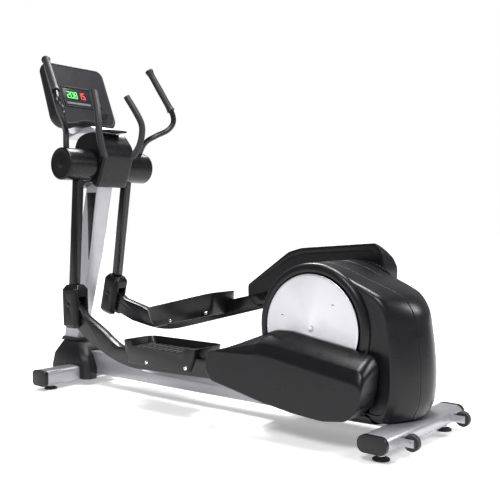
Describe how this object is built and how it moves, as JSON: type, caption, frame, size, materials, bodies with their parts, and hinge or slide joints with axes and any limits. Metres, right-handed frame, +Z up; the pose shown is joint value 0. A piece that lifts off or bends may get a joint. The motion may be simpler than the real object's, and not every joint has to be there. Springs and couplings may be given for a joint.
{
  "type": "elliptical trainer",
  "caption": "Rear-drive elliptical trainer: silver frame, two swing arms with handles, two pedal levers on a crank in a rear housing, console on a leaning mast.",
  "frame": {"origin": "middle of the bounding box on the floor, at rest", "axes": "+X to the rear (drive housing), -X to the front (console), -Y the user's left, +Z up"},
  "size_m": [2.2022, 0.731, 1.6591],
  "materials": {
    "silver_paint": "satin silver powder coat",
    "disc_paint": "brushed silver, satin lacquer",
    "black_paint": "gloss black powder coat",
    "dark_plastic": "fine moulded texture",
    "pedal_plastic": "moulded, semi-gloss",
    "button_plastic": "soft-touch keys",
    "rubber": "matt",
    "grip_rubber": "closed-cell foam rubber",
    "wheel_rubber": "smooth tread",
    "bare_steel": "ground",
    "cast_iron": "machined rim",
    "display_glass": "polished clear window over a dark display"
  },
  "bodies": {
    "frame": {"main_beam": "silver_paint", "front_stabiliser": "silver_paint", "rear_stabiliser": "silver_paint", "mast": "silver_paint", "console_neck": "silver_paint", "crank_bearing_post": "silver_paint", "flywheel_post": "silver_paint", "mast_boot": "dark_plastic", "mast_collar": "rubber", "pivot_shroud": "dark_plastic", "bottle_holder": "dark_plastic", "pivot_shaft": "bare_steel", "drive_belt": "rubber", "housing_band": "dark_plastic", "console_back": "dark_plastic", "console_face": "dark_plastic", "display_window": "display_glass", "front_stabiliser_cap_left": "dark_plastic", "rear_stabiliser_cap_left": "dark_plastic", "mast_inlay_left": "dark_plastic", "fixed_handlebar_left": "grip_rubber", "housing_shell_left": "dark_plastic", "front_stabiliser_cap_right": "dark_plastic", "rear_stabiliser_cap_right": "dark_plastic", "mast_inlay_right": "dark_plastic", "fixed_handlebar_right": "grip_rubber", "housing_shell_right": "dark_plastic"},
    "front_left_foot": {"front_levelling_foot_left": "rubber"},
    "rear_left_foot": {"rear_levelling_foot_left": "rubber"},
    "left_wheel": {"transport_wheel_left": "wheel_rubber"},
    "left_swing_arm": {"swing_hub_left": "dark_plastic", "swing_tube_left": "black_paint", "swing_handle_left": "black_paint", "swing_grip_left": "grip_rubber", "pivot_sleeve_left": "dark_plastic", "pivot_pin_left": "bare_steel"},
    "left_pedal_arm": {"pedal_lever_left": "black_paint", "lever_cover_left": "dark_plastic", "pedal_left": "pedal_plastic"},
    "front_right_foot": {"front_levelling_foot_right": "rubber"},
    "rear_right_foot": {"rear_levelling_foot_right": "rubber"},
    "right_wheel": {"transport_wheel_right": "wheel_rubber"},
    "right_swing_arm": {"swing_hub_right": "dark_plastic", "swing_tube_right": "black_paint", "swing_handle_right": "black_paint", "swing_grip_right": "grip_rubber", "pivot_sleeve_right": "dark_plastic", "pivot_pin_right": "bare_steel"},
    "right_pedal_arm": {"pedal_lever_right": "black_paint", "lever_cover_right": "dark_plastic", "pedal_right": "pedal_plastic"},
    "crank": {"crankshaft": "bare_steel", "drive_pulley": "cast_iron", "crank_disc_left": "disc_paint", "crank_disc_right": "disc_paint"},
    "flywheel": {"flywheel": "cast_iron"},
    "level_up_button": {"level_up_button": "button_plastic"},
    "level_down_button": {"level_down_button": "button_plastic"},
    "start_button": {"start_button": "button_plastic"},
    "stop_button": {"stop_button": "button_plastic"}
  },
  "joints": [
    {"name": "left_swing", "type": "hinge", "parent": "frame", "child": "left_swing_arm", "pos_m": [-0.7899, 0, 1.12], "axis": [0, 1, 0], "range_deg": [-8.2, 23.6]},
    {"name": "right_swing", "type": "hinge", "parent": "frame", "child": "right_swing_arm", "pos_m": [-0.7899, 0, 1.12], "axis": [0, 1, 0], "range_deg": [-23.6, 8.2]},
    {"name": "left_pedal_pivot", "type": "hinge", "parent": "left_swing_arm", "child": "left_pedal_arm", "pos_m": [-0.76609, -0.207, 0.43041], "axis": [0, 1, 0], "range_deg": [-23.6, 8.2]},
    {"name": "right_pedal_pivot", "type": "hinge", "parent": "right_swing_arm", "child": "right_pedal_arm", "pos_m": [-0.95035, 0.207, 0.44892], "axis": [0, 1, 0], "range_deg": [-8.2, 23.6]},
    {"name": "crank_spin", "type": "hinge", "parent": "frame", "child": "crank", "pos_m": [0.6181, 0, 0.428], "axis": [0, 1, 0], "continuous": true},
    {"name": "flywheel_spin", "type": "hinge", "parent": "frame", "child": "flywheel", "pos_m": [0.8531, 0, 0.268], "axis": [0, 1, 0], "continuous": true},
    {"name": "left_wheel_spin", "type": "hinge", "parent": "frame", "child": "left_wheel", "pos_m": [1.0701, -0.213, 0.07], "axis": [0, 1, 0], "continuous": true},
    {"name": "front_left_foot_turn", "type": "hinge", "parent": "frame", "child": "front_left_foot", "pos_m": [-0.9089, -0.254, 0], "axis": [0, 0, 1], "continuous": true},
    {"name": "rear_left_foot_turn", "type": "hinge", "parent": "frame", "child": "rear_left_foot", "pos_m": [0.9701, -0.254, 0], "axis": [0, 0, 1], "continuous": true},
    {"name": "right_wheel_spin", "type": "hinge", "parent": "frame", "child": "right_wheel", "pos_m": [1.0701, 0.213, 0.07], "axis": [0, 1, 0], "continuous": true},
    {"name": "front_right_foot_turn", "type": "hinge", "parent": "frame", "child": "front_right_foot", "pos_m": [-0.9089, 0.254, 0], "axis": [0, 0, 1], "continuous": true},
    {"name": "rear_right_foot_turn", "type": "hinge", "parent": "frame", "child": "rear_right_foot", "pos_m": [0.9701, 0.254, 0], "axis": [0, 0, 1], "continuous": true},
    {"name": "level_up_press", "type": "slide", "parent": "frame", "child": "level_up_button", "axis": [-0.9245, 0, -0.3811], "range_m": [0, 0.002], "stiffness_N_per_m": 300},
    {"name": "level_down_press", "type": "slide", "parent": "frame", "child": "level_down_button", "axis": [-0.9245, 0, -0.3811], "range_m": [0, 0.002], "stiffness_N_per_m": 300},
    {"name": "start_press", "type": "slide", "parent": "frame", "child": "start_button", "axis": [-0.9245, 0, -0.3811], "range_m": [0, 0.002], "stiffness_N_per_m": 300},
    {"name": "stop_press", "type": "slide", "parent": "frame", "child": "stop_button", "axis": [-0.9245, 0, -0.3811], "range_m": [0, 0.002], "stiffness_N_per_m": 300}
  ],
  "couplings": [
    {"joint": "right_swing", "follows": "left_swing", "ratio": -1},
    {"joint": "left_pedal_pivot", "follows": "left_swing", "ratio": -1},
    {"joint": "right_pedal_pivot", "follows": "left_swing", "ratio": 1},
    {"joint": "flywheel_spin", "follows": "crank_spin", "ratio": 6.8182}
  ]
}
